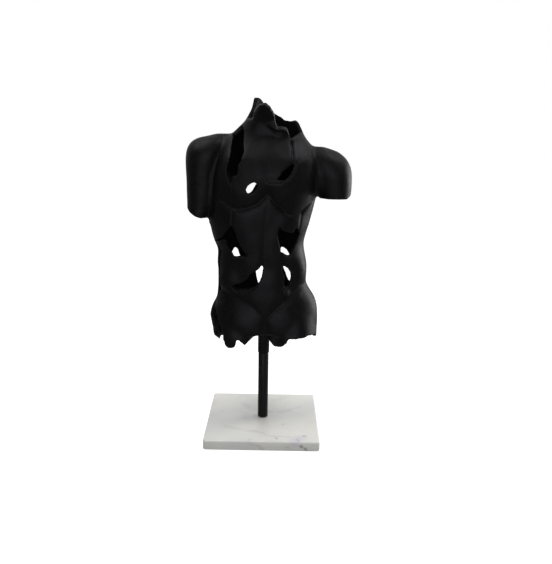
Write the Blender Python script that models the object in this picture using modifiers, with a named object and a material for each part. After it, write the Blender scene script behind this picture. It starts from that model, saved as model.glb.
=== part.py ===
"""Black cast-aluminium torso on a round bar and a square marble plinth.

The figure is a hollow shell, broken open at the neck, the left flank, the hips
and in several jagged windows front and back. It faces -Y. The origin is the
centre of the plinth's underside, and the units are metres with +Z up.
"""

import math

import bmesh
import bpy
import numpy as np
from mathutils import Matrix, Vector

MM = 0.001

# Driving dimensions of the stand
PLINTH_SIDE = 150 * MM
PLINTH_THICKNESS = 13 * MM
PLINTH_CORNER = 3.5 * MM
PLINTH_EDGE = 1.6 * MM
BAR_DIAMETER = 13.8 * MM
BAR_EXPOSED = 94 * MM
BAR_EDGE = 0.4 * MM
SPIGOT_DIAMETER = 8 * MM
SPIGOT_LENGTH = 22 * MM
SEAT_DEPTH = 8 * MM
SOCKET_WALL = 3.4 * MM
SOCKET_ROOF = 6 * MM
FIT_GAP = 0.3 * MM

# Driving dimensions of the figure
FIGURE_HEIGHT = 332 * MM
WALL = 4.5 * MM

# The tables below give the figure's free form in units of a 332nd of its height.
# Their heights are counted so that the foot of the figure's socket is at 107.
UNIT = FIGURE_HEIGHT / 332
TABLE_FOOT = 107
FIGURE_FOOT = PLINTH_THICKNESS + BAR_EXPOSED

# Finishes: name, colour, metallic, roughness
TORSO_FINISH = ("torso_cast", (0.018, 0.017, 0.018), 0.2, 0.42)
ROD_FINISH = ("rod_metal", (0.02, 0.019, 0.02), 0.2, 0.4)
PLINTH_FINISH = ("plinth_marble", (0.6, 0.6, 0.58), 0, 0.3)

# Resolution of the solid
VOXEL = 3.0 * MM
INNER_VOXEL = 4.0 * MM
BLEND_PASSES = 8
STUMP_PASSES = 1
INNER_BLEND_PASSES = 12
OUTER_TRIANGLES = 5300
INNER_TRIANGLES = 1300
RING_SIDES = 64
RING_STEP = 2
TABLE_PASSES = 3
ROUND_SIDES = 36
CORNER_SEGMENTS = 4
EDGE_SEGMENTS = 2
EDGE_ANGLE = math.radians(50)
MERGE_DISTANCE = 0.1 * MM

# Level sections of the trunk: height, left edge, right edge, depth to the front,
# depth to the back, turn about the spine in degrees.
TRUNK = (
    (100, -57, 64, 38, 40, 2),
    (120, -63, 69, 41, 42, 2),
    (136, -69, 72, 43, 43, 2),
    (157, -74, 73, 44, 43, 2),
    (172, -71, 71, 43, 41, 3),
    (184, -64, 68, 41, 38, 4),
    (204, -61, 55, 40, 35, 5),
    (233, -62, 55, 41, 37, 5),
    (251, -62, 51, 42, 40, 5),
    (260, -66, 50, 43, 42, 5),
    (271, -69, 53, 44, 44, 5),
    (284, -72, 57, 45, 46, 5),
    (300, -73, 61, 46, 49, 5),
    (312, -73, 64, 46, 50, 5),
    (345, -69, 67, 46, 52, 4),
    (365, -66, 66, 42, 50, 3),
    (378, -60, 61, 35, 45, 3),
    (388, -54, 54, 29, 40, 2),
    (394, -45, 49, 26, 37, 2),
    (403, -35, 45, 24, 32, 2),
    (411, -27, 41, 24, 29, 2),
    (425, -19, 37, 27, 27, 2),
    (446, -14, 34, 30, 26, 2),
)

# Level sections of the arms, the same columns. They run past the ends, which are sawn off.
ARM_LEFT = (
    (272, -101, -76, 23, 24, 0),
    (290, -101, -72, 23, 24, 0),
    (304, -101, -64, 23, 25, 0),
    (336, -101, -60, 25, 27, 0),
    (360, -102, -54, 27, 30, 0),
    (374, -101, -48, 26, 29, 0),
    (383, -97, -42, 21, 25, 0),
    (389, -90, -38, 15, 19, 0),
    (392.5, -78, -36, 8, 12, 0),
    (394.5, -64, -38, 4, 7, 0),
)

ARM_RIGHT = (
    (300, 74, 109, 24, 27, 0),
    (316, 70, 109, 24, 27, 0),
    (326, 64, 110, 25, 28, 0),
    (344, 60, 110, 27, 31, 0),
    (356, 54, 108, 25, 30, 0),
    (366, 48, 103, 22, 27, 0),
    (373, 42, 95, 16, 22, 0),
    (378.5, 38, 87, 9, 15, 0),
    (381, 38, 74, 4, 8, 0),
)

# Level sections of the fillings where the chest runs into the arms.
ARMPIT_LEFT = (
    (294, -82, -54, 12, 16, 0),
    (306, -84, -50, 21, 24, 0),
    (345, -84, -48, 24, 28, 0),
    (376, -80, -44, 22, 26, 0),
    (386, -72, -42, 12, 18, 0),
)
ARMPIT_RIGHT = (
    (320, 58, 80, 12, 16, 0),
    (330, 54, 86, 22, 24, 0),
    (350, 52, 86, 24, 28, 0),
    (364, 48, 82, 20, 24, 0),
    (372, 46, 72, 10, 16, 0),
)

# Level sections of the thighs.
THIGH_LEFT = (
    (100, -56, -1, 38, 46, 2),
    (135, -69, -1, 44, 50, 2),
    (165, -66, -6, 36, 42, 2),
    (185, -54, -14, 22, 28, 2),
)
THIGH_RIGHT = (
    (100, 5, 64, 38, 46, 2),
    (135, 5, 72, 44, 50, 2),
    (165, 8, 68, 36, 42, 2),
    (185, 16, 54, 22, 28, 2),
)

# What is sawn off below the arms, as outlines across and up, and how far the saw reaches
# to the front and the back.
STUMP_LEFT = (
    (-112, 262), (-112, 312), (-101, 302), (-96, 297), (-89, 292.5), (-82, 290), (-72.5, 290), (-72.5, 262),
)
STUMP_RIGHT = (
    (70, 290), (70, 316.8), (84, 317), (103, 317), (108, 320.5), (118, 330), (118, 290),
)
STUMP_REACH = 50

# How far back the sections' middle lies, where the trunk starts above the thighs,
# and how much squarer than an ellipse the sections are.
SPINE_DEPTH = 3
TRUNK_BASE = 142
TRUNK_SQUARENESS = 2.3
LIMB_SQUARENESS = 2.2

# Swells of the surface: name, side (-1 front, 1 back), middle across and up,
# half width, half height, share of the width that is flat, lift.
SWELLS = (
    ("pectoral left", -1, -28, 345, 40, 41, 0.4, 4),
    ("pectoral right", -1, 35, 344, 37, 43, 0.4, 4),
    ("breastbone", -1, 4, 356, 26, 40, 0.2, 2),
    ("rib arch left", -1, -34, 288, 26, 26, 0.3, 2),
    ("rib arch right", -1, 32, 285, 24, 24, 0.3, 2),
    ("belly left", -1, -16, 250, 20, 42, 0.3, 2),
    ("belly right", -1, 16, 250, 20, 42, 0.3, 2),
    ("low belly", -1, 0, 200, 36, 34, 0.3, 4),
    ("hip crest left", -1, -49, 212, 20, 24, 0.1, 4),
    ("hip crest right", -1, 47, 222, 18, 28, 0.1, 4),
    ("thigh left", -1, -32, 146, 30, 38, 0.3, 4),
    ("thigh right", -1, 36, 148, 30, 38, 0.3, 4),
    ("shoulder blade left", 1, -36, 342, 27, 36, 0.3, 5),
    ("shoulder blade right", 1, 42, 336, 27, 36, 0.3, 5),
    ("back muscle left", 1, -18, 240, 18, 52, 0.3, 4),
    ("back muscle right", 1, 18, 240, 18, 52, 0.3, 4),
    ("buttock left", 1, -33, 152, 35, 38, 0.3, 13),
    ("buttock right", 1, 34, 152, 35, 38, 0.3, 13),
)

# Furrows of the surface: name, side, half width, depth, then points across and up.
FURROWS = (
    ("under pectoral left", -1, 6, 1.8, ((-54, 317), (-42, 309), (-30, 306), (-19, 307), (-9, 312),
                                         (4, 326))),
    ("under pectoral right", -1, 6, 1.8, ((4, 326), (10, 316), (21, 306), (33, 299), (46, 302), (58, 314))),
    ("neck crack", -1, 4, 2.5, ((30, 392), (31, 384), (32, 373), (34, 360))),
    ("middle line", -1, 7, 0.8, ((4, 326), (2, 300), (0, 275), (0, 236), (0, 214))),
    ("groin left", -1, 8, 1.8, ((-56, 200), (-42, 193), (-28, 188), (-13, 179), (1, 161))),
    ("groin right", -1, 8, 1.8, ((54, 208), (38, 200), (24, 186), (10, 173), (1, 161))),
    ("crotch", -1, 9, 2.5, ((2, 153), (3, 146), (2, 100))),
    ("spine", 1, 9, 5, ((4, 400), (3, 330), (-2, 260), (0, 195))),
    ("cleft", 1, 9, 13, ((0, 186), (1, 160), (2, 100))),
    ("armpit left", -1, 7, 1.5, ((-54, 388), (-60, 362), (-65, 345), (-67, 300))),
    ("armpit right", -1, 7, 0.6, ((62, 372), (66, 350), (69, 322))),
    ("arm behind left", 1, 7, 2, ((-50, 384), (-62, 350), (-67, 300))),
    ("arm behind right", 1, 7, 2, ((60, 372), (64, 345), (68, 322))),
)

# Broken windows through the front, as outlines across and up.
FRONT_WINDOWS = (
    ("window_slot", ((-29, 401), (-27, 393), (-25, 383), (-26, 374), (-30, 362), (-35, 352), (-39, 342),
                     (-41, 336), (-44, 341), (-47, 349), (-46, 359), (-42, 368), (-42, 381), (-39, 391),
                     (-34, 398))),
    ("window_wedge", ((35, 360), (28, 355), (21, 349), (17, 343), (23, 342), (28, 346), (32, 351),
                      (34, 357))),
    ("window_oval", ((-9, 339), (-13, 340), (-18, 338), (-22, 334), (-24, 330), (-23, 325), (-18, 323),
                     (-13, 325), (-9, 330), (-7, 335))),
    ("window_belly_left", ((-41, 284), (-37, 280), (-34, 271), (-31, 261), (-28, 253), (-25, 249), (-31, 245),
                           (-37, 243), (-39, 247), (-43, 258), (-45, 264), (-51, 270), (-52, 273),
                           (-46, 280))),
    ("window_crown", ((18, 284), (23, 279), (28, 277), (35, 278), (40, 283), (41, 275), (36, 262), (34, 256),
                      (33, 244), (31, 249), (20, 251), (17, 262), (15, 274))),
    ("window_navel", ((-1, 237), (0, 230), (-2, 222), (-6, 212), (-11, 205), (-20, 199), (-29, 202),
                      (-40, 209), (-30, 212), (-24, 218), (-19, 224), (-11, 228), (-5, 233))),
    ("window_loin", ((21, 236), (28, 233), (33, 226), (34, 219), (33, 208), (34, 200), (31, 196), (26, 201),
                     (25, 218), (22, 230))),
    ("window_notch", ((-49, 273), (-57, 264), (-70, 262), (-70, 257), (-57, 259), (-50, 266))),
)

# Broken windows through the back.
BACK_WINDOWS = (
    ("gap_shoulder", ((-14, 332), (-13, 340), (-20, 344), (-30, 338), (-36, 328), (-34, 318), (-27, 316),
                      (-24, 318), (-19, 324))),
    ("gap_ribs", ((-49, 236), (-45, 240), (-41, 243), (-38, 241), (-34, 233), (-32, 224), (-38, 219),
                  (-46, 222), (-50, 229))),
    ("gap_spine", ((-13, 207), (-11, 192), (-8, 184), (0, 182), (6, 192), (7, 205), (4, 216), (-4, 220),
                   (-12, 216))),
    ("gap_loin", ((18, 238), (19, 245), (26, 245), (33, 239), (38, 230), (42, 218), (42, 203), (36, 194),
                  (33, 197), (28, 205), (25, 215), (20, 226))),
)

# The left flank's long split, across the depth and up.
FLANK_SPLIT = (
    (-16, 259), (-21, 248), (-18, 232), (-20, 214), (-17, 200), (-9, 187), (-8, 177), (-20, 163), (-27, 150),
    (-30, 130), (-30, 90), (1, 90), (4, 118), (-1, 136), (4, 152), (-2, 170), (3, 186), (-3, 202), (1, 222),
    (-6, 240),
)

# Broken edges of the neck and of the hips, from left to right.
NECK_FRONT = (
    (-48, 408), (-26, 411), (-17, 411), (-15.5, 420), (-13, 424), (-9, 430), (-3, 431), (2, 428), (6, 423),
    (9, 416), (12, 404), (24, 402), (28, 394), (30, 388), (36, 391), (50, 397),
)
NECK_BACK = (
    (-48, 436), (-20, 439), (-12, 439), (-8, 439), (-6, 436), (-3, 430), (3, 424), (8, 420), (15, 416),
    (22, 412), (33, 411), (40, 406), (50, 404),
)
HIPS_FRONT = (
    (-82, 132), (-56, 138), (-52, 134), (-49, 128), (-46, 124), (-41, 124), (-37, 127), (-35, 135),
    (-29, 133),
    (-24, 128), (-13, 139), (-6, 141), (1, 139), (4, 133), (8, 127), (15, 126), (23, 127), (30, 132),
    (34, 139), (51, 140), (59, 142), (84, 135),
)
HIPS_BACK = (
    (-82, 128), (-70, 127), (-65, 121), (-58, 117), (-44, 123), (-30, 119), (-16, 128), (0, 134), (14, 125),
    (30, 121), (42, 129), (56, 124), (66, 133), (84, 134),
)

# How the cutters reach through the wall. A window is wider outside than inside.
WINDOW_START = 95
WINDOW_END = 6
WINDOW_OUTER = 1.12
WINDOW_INNER = 0.9
SPLIT_START = -100
SPLIT_END = -38
BREAK_HEIGHT = 60
HALF_OVERLAP = 1
CUT_MARGIN = 2 * MM

# Height at which the socket runs into the crotch
SOCKET_TOP = 149

# How quickly a swell or a furrow fades round the sides
FACING_GAIN = 1.5


def place(point):
    """A point of the figure's tables, in metres above the ground."""
    x, y, z = point
    return Vector((x * UNIT, y * UNIT, (z - TABLE_FOOT) * UNIT + FIGURE_FOOT))


def new_object(name, mesh, collection):
    obj = bpy.data.objects.new(name, mesh)
    collection.objects.link(obj)
    return obj


def object_from(name, bm, collection):
    """An object of the finished bmesh, its normals turned outward."""
    bmesh.ops.recalc_face_normals(bm, faces=bm.faces[:])
    mesh = bpy.data.meshes.new(name)
    bm.to_mesh(mesh)
    bm.free()
    return new_object(name, mesh, collection)


def bake(obj):
    """Applies the object's modifiers."""
    graph = bpy.context.evaluated_depsgraph_get()
    mesh = bpy.data.meshes.new_from_object(obj.evaluated_get(graph), depsgraph=graph)
    obj.modifiers.clear()
    obj.data = mesh


def smooth_rows(table, base):
    """A table's rows at even heights from base up, eased into one another."""
    rows = np.array(table, float)
    heights = np.arange(max(base, rows[0, 0]), rows[-1, 0] + 0.5, RING_STEP)
    heights[-1] = rows[-1, 0]
    dense = np.stack([np.interp(heights, rows[:, 0], column) for column in rows.T], 1)
    for _ in range(TABLE_PASSES):
        dense[1:-1, 1:] = (dense[:-2, 1:] + 2 * dense[1:-1, 1:] + dense[2:, 1:]) / 4
    return dense


def add_ring(bm, row, squareness):
    """One level section, a rounded oval with its own depths front and back."""
    height, left, right, front, back, turn = row
    ring = []
    for i in range(RING_SIDES):
        angle = 2 * math.pi * i / RING_SIDES
        c, s = math.cos(angle), math.sin(angle)
        x = (right - left) / 2 * math.copysign(abs(c) ** (2 / squareness), c)
        y = (back if s > 0 else front) * math.copysign(abs(s) ** (2 / squareness), s)
        spot = Matrix.Rotation(math.radians(turn), 2) @ Vector((x, y))
        ring.append(bm.verts.new(place((spot.x + (left + right) / 2, spot.y + SPINE_DEPTH, height))))
    return ring


def add_loft(bm, table, squareness, base=0):
    """A closed loft through unlike level sections."""
    rings = [add_ring(bm, row, squareness) for row in smooth_rows(table, base)]
    for low, high in zip(rings, rings[1:]):
        for i in range(RING_SIDES):
            j = (i + 1) % RING_SIDES
            bm.faces.new((low[i], low[j], high[j], high[i]))
    bm.faces.new(rings[0][::-1])
    bm.faces.new(rings[-1])


def distance_to_line(x, z, points):
    """How far each spot is from a line of points, seen from the front."""
    best = np.full(len(x), 1e9)
    for (ax, az), (bx, bz) in zip(points, points[1:]):
        ux, uz = bx - ax, bz - az
        share = ((x - ax) * ux + (z - az) * uz) / (ux * ux + uz * uz)
        share = np.clip(share, 0, 1)
        best = np.minimum(best, np.hypot(x - ax - share * ux, z - az - share * uz))
    return best


def ease(value):
    value = np.clip(value, 0, 1)
    return value * value * (3 - 2 * value)


def add_relief(obj):
    """Lifts the swells and sinks the furrows along the surface's own normals."""
    mesh = obj.data
    count = len(mesh.vertices)
    spots = np.empty((count, 3))
    normals = np.empty((count, 3))
    mesh.vertices.foreach_get("co", spots.ravel())
    mesh.vertices.foreach_get("normal", normals.ravel())
    x = spots[:, 0] / UNIT
    z = (spots[:, 2] - FIGURE_FOOT) / UNIT + TABLE_FOOT
    lift = np.zeros(count)
    for _, side, cx, cz, half_width, half_height, flat_share, height in SWELLS:
        radius = np.hypot((x - cx) / half_width, (z - cz) / half_height)
        facing = ease(normals[:, 1] * side * FACING_GAIN)
        lift += height * facing * ease((1 - radius) / (1 - flat_share))
    for _, side, half_width, depth, points in FURROWS:
        facing = ease(normals[:, 1] * side * FACING_GAIN)
        lift -= depth * facing * np.exp(-2 * (distance_to_line(x, z, points) / half_width) ** 2)
    moved = spots + normals * (lift * UNIT)[:, None]
    mesh.vertices.foreach_set("co", moved.ravel())
    mesh.update()


def melt(obj, voxel, passes):
    """One even skin round everything the object holds, then smoothed."""
    remesh = obj.modifiers.new("Melt", "REMESH")
    remesh.mode = "VOXEL"
    remesh.voxel_size = voxel
    blend = obj.modifiers.new("Blend", "SMOOTH")
    blend.factor = 0.5
    blend.iterations = passes
    bake(obj)


def saw_off_arms(body, tools):
    """Cuts the arms off flat. The new faces get the same even mesh as the skin."""
    saws = []
    for name, outline in (("saw_left", STUMP_LEFT), ("saw_right", STUMP_RIGHT)):
        corners = [(x, -STUMP_REACH, z) for x, z in outline]
        saws.append(add_prism(name, corners, (0, 2 * STUMP_REACH, 0), 1, tools))
    for saw in saws:
        cut(body, saw)
    bake(body)
    for saw in saws:
        bpy.data.objects.remove(saw)
    melt(body, VOXEL, STUMP_PASSES)


def make_body(figure, tools):
    """The figure's whole outer skin, closed, before it is hollowed and broken."""
    bm = bmesh.new()
    add_loft(bm, TRUNK, TRUNK_SQUARENESS, TRUNK_BASE)
    for table in (ARM_LEFT, ARM_RIGHT, ARMPIT_LEFT, ARMPIT_RIGHT, THIGH_LEFT, THIGH_RIGHT):
        add_loft(bm, table, LIMB_SQUARENESS)
    body = object_from("torso", bm, figure)
    melt(body, VOXEL, BLEND_PASSES)
    saw_off_arms(body, tools)
    add_relief(body)
    return body


def make_hollow(body, collection):
    """The same skin moved inward by the wall."""
    hollow = new_object("hollow", body.data.copy(), collection)
    inset = hollow.modifiers.new("Inset", "DISPLACE")
    inset.strength = -WALL
    inset.mid_level = 0
    melt(hollow, INNER_VOXEL, INNER_BLEND_PASSES)
    thin(hollow, INNER_TRIANGLES)
    return hollow


def thin(obj, triangles):
    """Collapses the mesh to about so many triangles."""
    now = sum(len(face.vertices) - 2 for face in obj.data.polygons)
    lighter = obj.modifiers.new("Lighter", "DECIMATE")
    lighter.ratio = min(1, triangles / now)
    lighter.use_collapse_triangulate = True
    bake(obj)


def add_prism(name, outline, shift, taper, collection):
    """A closed cutter, an outline of points drawn out by a shift and tapered."""
    bm = bmesh.new()
    face = bm.faces.new([bm.verts.new(place(point)) for point in outline])
    drawn = bmesh.ops.extrude_face_region(bm, geom=[face])["geom"]
    moved = [item for item in drawn if isinstance(item, bmesh.types.BMVert)]
    middle = face.calc_center_median()
    bmesh.ops.scale(bm, vec=(taper, taper, taper), verts=moved, space=Matrix.Translation(-middle))
    bmesh.ops.translate(bm, verts=moved, vec=Vector(shift) * UNIT)
    return object_from(name, bm, collection)


def window_cutter(name, outline, side, collection):
    """A window's cutter, wider outside so that its broken lips slope."""
    middle_x = sum(x for x, _ in outline) / len(outline)
    middle_z = sum(z for _, z in outline) / len(outline)
    wide = []
    for x, z in outline:
        wide_x = middle_x + (x - middle_x) * WINDOW_OUTER
        wide_z = middle_z + (z - middle_z) * WINDOW_OUTER
        wide.append((wide_x, side * WINDOW_START, wide_z))
    shift = (0, side * (WINDOW_END - WINDOW_START), 0)
    return add_prism(name, wide, shift, WINDOW_INNER / WINDOW_OUTER, collection)


def break_cutter(name, edge, toward, side, collection):
    """Takes away all that is beyond a broken edge, on the front or the back half."""
    limit = edge[0][1] + toward * BREAK_HEIGHT
    corners = list(edge) + [(edge[-1][0], limit), (edge[0][0], limit)]
    outline = [(x, side * WINDOW_START, z) for x, z in corners]
    shift = (0, -side * (WINDOW_START + HALF_OVERLAP), 0)
    return add_prism(name, outline, shift, 1, collection)


def split_cutter(collection):
    """The long split down the left flank."""
    outline = [(SPLIT_START, y, z) for y, z in FLANK_SPLIT]
    return add_prism("flank_split", outline, (SPLIT_END - SPLIT_START, 0, 0), 1, collection)


def cylinder(name, radius, low, high, collection):
    """An upright round tool between two heights."""
    bm = bmesh.new()
    middle = Matrix.Translation((0, 0, (low + high) / 2))
    size = {"radius1": radius, "radius2": radius, "depth": high - low}
    bmesh.ops.create_cone(bm, cap_ends=True, segments=ROUND_SIDES, matrix=middle, **size)
    return object_from(name, bm, collection)


def ease_edges(obj, width):
    bevel = obj.modifiers.new("Eased edges", "BEVEL")
    bevel.width = width
    bevel.segments = EDGE_SEGMENTS
    bevel.limit_method = "ANGLE"
    bevel.angle_limit = EDGE_ANGLE
    bevel.use_clamp_overlap = True


def cut(obj, tool, operation="DIFFERENCE"):
    step = obj.modifiers.new(tool.name, "BOOLEAN")
    step.operation = operation
    step.solver = "MANIFOLD"
    step.object = tool
    tool.hide_render = True
    tool.display_type = "WIRE"


def make_torso(figure, tools):
    """The hollow, broken casting with its socket."""
    torso = make_body(figure, tools)
    hollow = make_hollow(torso, tools)
    thin(torso, OUTER_TRIANGLES)
    socket_radius = SPIGOT_DIAMETER / 2 + FIT_GAP + SOCKET_WALL
    bore_top = FIGURE_FOOT + SPIGOT_LENGTH + FIT_GAP
    socket_top = max(place((0, 0, SOCKET_TOP)).z, bore_top + SOCKET_ROOF)
    socket = cylinder("socket_boss", socket_radius, FIGURE_FOOT, socket_top, tools)
    cut(torso, hollow)
    for name, outline in FRONT_WINDOWS:
        cut(torso, window_cutter(name, outline, -1, tools))
    for name, outline in BACK_WINDOWS:
        cut(torso, window_cutter(name, outline, 1, tools))
    cut(torso, split_cutter(tools))
    cut(torso, break_cutter("neck_break_front", NECK_FRONT, 1, -1, tools))
    cut(torso, break_cutter("neck_break_back", NECK_BACK, 1, 1, tools))
    cut(torso, break_cutter("hips_break_front", HIPS_FRONT, -1, -1, tools))
    cut(torso, break_cutter("hips_break_back", HIPS_BACK, -1, 1, tools))
    cut(torso, socket, "UNION")
    bore = cylinder("socket_bore", SPIGOT_DIAMETER / 2 + FIT_GAP, FIGURE_FOOT - CUT_MARGIN, bore_top, tools)
    cut(torso, bore)
    return torso


def make_rod(figure):
    """The bar, with a thinner spigot at each end, turned from one piece."""
    tip = PLINTH_THICKNESS - SEAT_DEPTH + FIT_GAP
    foot = PLINTH_THICKNESS + FIT_GAP
    shoulder = FIGURE_FOOT - FIT_GAP
    top = FIGURE_FOOT + SPIGOT_LENGTH
    thin_radius = SPIGOT_DIAMETER / 2
    bar_radius = BAR_DIAMETER / 2
    profile = (
        (0, tip),
        (thin_radius - BAR_EDGE, tip),
        (thin_radius, tip + BAR_EDGE),
        (thin_radius, foot),
        (bar_radius - BAR_EDGE, foot),
        (bar_radius, foot + BAR_EDGE),
        (bar_radius, shoulder - BAR_EDGE),
        (bar_radius - BAR_EDGE, shoulder),
        (thin_radius, shoulder),
        (thin_radius, top - BAR_EDGE),
        (thin_radius - BAR_EDGE, top),
        (0, top),
    )
    bm = bmesh.new()
    spots = [bm.verts.new((radius, 0, height)) for radius, height in profile]
    for low, high in zip(spots, spots[1:]):
        bm.edges.new((low, high))
    mesh = bpy.data.meshes.new("rod")
    bm.to_mesh(mesh)
    bm.free()
    rod = new_object("rod", mesh, figure)
    turned = rod.modifiers.new("Turned", "SCREW")
    turned.steps = ROUND_SIDES
    turned.render_steps = ROUND_SIDES
    turned.use_merge_vertices = True
    turned.merge_threshold = MERGE_DISTANCE
    turned.use_normal_calculate = True
    return rod


def make_plinth(figure, tools):
    """The marble slab with eased edges and a blind hole for the bar's spigot."""
    bm = bmesh.new()
    size = Matrix.Diagonal((PLINTH_SIDE, PLINTH_SIDE, PLINTH_THICKNESS, 1))
    bmesh.ops.create_cube(bm, size=1, matrix=Matrix.Translation((0, 0, PLINTH_THICKNESS / 2)) @ size)
    upright = [edge for edge in bm.edges if abs(edge.verts[0].co.z - edge.verts[1].co.z) > MM]
    rounding = {"offset": PLINTH_CORNER, "segments": CORNER_SEGMENTS, "profile": 0.5}
    bmesh.ops.bevel(bm, geom=upright, affect="EDGES", **rounding)
    plinth = object_from("plinth", bm, figure)
    ease_edges(plinth, PLINTH_EDGE)
    hole_radius = SPIGOT_DIAMETER / 2 + FIT_GAP
    seat_floor = PLINTH_THICKNESS - SEAT_DEPTH
    seat = cylinder("seat_hole", hole_radius, seat_floor, PLINTH_THICKNESS + CUT_MARGIN, tools)
    cut(plinth, seat)
    return plinth


def give_material(obj, name, colour, metallic, roughness):
    material = bpy.data.materials.new(name)
    material.use_nodes = True
    shader = material.node_tree.nodes["Principled BSDF"]
    shader.inputs["Base Color"].default_value = (*colour, 1)
    shader.inputs["Metallic"].default_value = metallic
    shader.inputs["Roughness"].default_value = roughness
    obj.data.materials.clear()
    obj.data.materials.append(material)


def main():
    for obj in list(bpy.data.objects):
        bpy.data.objects.remove(obj)
    figure = bpy.data.collections.new("torso_on_plinth")
    tools = bpy.data.collections.new("cutters")
    for collection in (figure, tools):
        bpy.context.scene.collection.children.link(collection)
    give_material(make_torso(figure, tools), *TORSO_FINISH)
    give_material(make_rod(figure), *ROD_FINISH)
    give_material(make_plinth(figure, tools), *PLINTH_FINISH)


main()
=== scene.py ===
# %% [markdown]
# A shattered torso in black aluminium, on a bar and a marble plinth.
#
# The real piece stands about 44 cm high. It is one hollow casting with a wall of a few
# millimetres, broken open at the neck, down one flank and at the hips, and in jagged windows
# front and back, so that daylight shows through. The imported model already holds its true
# sizes. This script loads it, rebuilds the casting at a fine grain, and gives every surface
# its finish. All lengths are metres, the figure faces -Y and stands on the floor at z = 0.

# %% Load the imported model
import math

import bmesh
import bpy
import numpy as np
from mathutils import Matrix, Vector, noise
from mathutils.bvhtree import BVHTree


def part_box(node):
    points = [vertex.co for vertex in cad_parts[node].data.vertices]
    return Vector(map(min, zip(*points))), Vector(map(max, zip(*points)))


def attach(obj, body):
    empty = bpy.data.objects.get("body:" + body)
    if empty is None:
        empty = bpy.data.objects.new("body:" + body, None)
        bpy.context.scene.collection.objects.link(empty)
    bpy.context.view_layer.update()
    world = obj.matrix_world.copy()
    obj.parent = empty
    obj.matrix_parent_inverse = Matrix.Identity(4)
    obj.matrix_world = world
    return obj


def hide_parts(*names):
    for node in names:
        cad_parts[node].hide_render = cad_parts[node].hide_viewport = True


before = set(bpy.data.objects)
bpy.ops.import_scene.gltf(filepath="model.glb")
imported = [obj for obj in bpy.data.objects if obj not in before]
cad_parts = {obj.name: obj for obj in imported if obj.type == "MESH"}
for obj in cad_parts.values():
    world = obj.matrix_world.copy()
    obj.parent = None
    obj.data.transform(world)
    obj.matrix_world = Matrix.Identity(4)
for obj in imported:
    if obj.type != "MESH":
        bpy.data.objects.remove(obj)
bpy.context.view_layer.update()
scene = bpy.context.scene
MM = 0.001
print("packed nodes:", sorted(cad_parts))

# %% [markdown]
# The camera stands where the photographer stood. Its place, tilt and focal length were
# worked out from the four corners of the plinth and from the bar, so a feature measured in
# the photograph falls on the same spot of the model. The lens is long enough to keep the
# figure free of distortion.

# %% Set up the camera
PHOTO_HEIGHT = 564
FOCAL_LENGTH_PIXELS = 612.4
SENSOR_WIDTH_MM = 36
CAMERA_PLACE = Vector((15.3, -789.1, 393.1)) * MM
CAMERA_PITCH = math.radians(13.4)
CAMERA_ROLL = math.radians(1.0)

camera_data = bpy.data.cameras.new("photo_camera")
camera_data.sensor_width = SENSOR_WIDTH_MM
camera_data.lens = FOCAL_LENGTH_PIXELS / PHOTO_HEIGHT * SENSOR_WIDTH_MM
camera = bpy.data.objects.new("photo_camera", camera_data)
scene.collection.objects.link(camera)
tilt = Matrix.Rotation(math.pi / 2 - CAMERA_PITCH, 4, "X") @ Matrix.Rotation(CAMERA_ROLL, 4, "Z")
camera.matrix_world = Matrix.Translation(CAMERA_PLACE) @ tilt
scene.camera = camera
print("lens in mm:", round(camera_data.lens, 1))

# %% [markdown]
# The stand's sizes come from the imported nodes, and so do the figure's foot and top. The
# figure itself is free form. Its sections are given in units of a 332nd of its height, and
# their heights are counted so that the foot of its socket is at 107. One helper turns such
# a point into metres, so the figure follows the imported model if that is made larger.

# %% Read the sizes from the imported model
TABLE_FOOT = 107
TABLE_TOP = 439
torso_low, torso_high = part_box("torso")
rod_low, rod_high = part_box("rod")
plinth_low, plinth_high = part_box("plinth")
figure_foot = torso_low[2]
unit = (torso_high[2] - torso_low[2]) / (TABLE_TOP - TABLE_FOOT)
plinth_top = plinth_high[2]


def place(x, y, z):
    """A point of the figure's tables, in metres above the floor."""
    return Vector((x * unit, y * unit, (z - TABLE_FOOT) * unit + figure_foot))


print("one unit in mm:", round(unit / MM, 4), "foot of the figure in mm:", round(figure_foot / MM, 1))

# %% [markdown]
# A torso could be sculpted by hand or grown from metaballs. Here it is lofted, because the
# outline of the real one can then be read straight off the photograph: each row is one level
# section, with its left and right edge, its depth to the front and to the back, and its turn
# about the spine. The chest is turned a little against the hips, as in a figure that rests
# its weight on one leg. The arms are lofted past their ends, to be cut square later, and a
# short loft fills each armpit, because the real chest runs into the arms almost flat.

# %% Lay down the level sections of the body
# Height, left edge, right edge, depth to the front, depth to the back, turn in degrees.
TRUNK = (
    (100, -57, 64, 38, 40, 2),
    (120, -63, 69, 41, 42, 2),
    (136, -68, 71, 43, 43, 2),
    (157, -73, 72, 44, 43, 2),
    (172, -70, 71, 43, 41, 3),
    (184, -63, 68, 41, 38, 4),
    (204, -61, 55, 40, 35, 5),
    (233, -62, 55, 41, 37, 5),
    (251, -61, 51, 42, 40, 5),
    (260, -66, 50, 43, 42, 5),
    (271, -69, 53, 44, 44, 5),
    (284, -72, 57, 45, 46, 5),
    (300, -73, 61, 46, 49, 5),
    (312, -73, 64, 46, 50, 5),
    (345, -69, 67, 46, 52, 4),
    (365, -66, 66, 42, 50, 3),
    (378, -60, 61, 35, 45, 3),
    (388, -54, 53, 29, 40, 2),
    (394, -45, 48, 26, 37, 2),
    (403, -35, 44, 26, 32, 2),
    (411, -27, 40, 27, 29, 2),
    (425, -19, 37, 30, 27, 2),
    (446, -14, 34, 36, 26, 2),
)
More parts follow.
